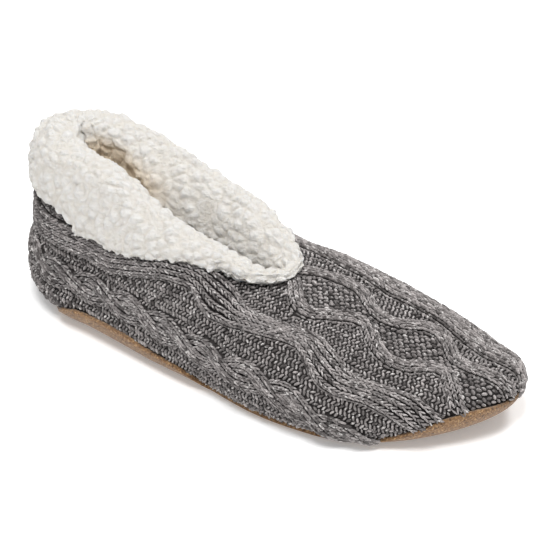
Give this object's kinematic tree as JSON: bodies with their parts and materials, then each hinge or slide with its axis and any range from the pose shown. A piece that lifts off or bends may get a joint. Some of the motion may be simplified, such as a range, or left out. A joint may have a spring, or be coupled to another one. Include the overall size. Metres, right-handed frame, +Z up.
{
  "type": "slipper sock",
  "caption": "Cable-knit slipper sock with a turned-down fleece cuff, a padded insole and a wrapped suede sole.",
  "frame": {"origin": "on the floor, under the middle of the whole slipper", "axes": "+X from heel to toe, +Y to the inner side of the foot, +Z up from the floor"},
  "size_m": [0.2536, 0.1044, 0.0889],
  "materials": {
    "knit": "chunky heathered wool knit",
    "suede": "napped suede",
    "insole": "brushed fleece",
    "fleece": "thick curly sherpa fleece"
  },
  "bodies": {
    "root": {"upper": "knit", "outsole": "suede", "insole": "insole", "cuff": "fleece"}
  },
  "joints": []
}
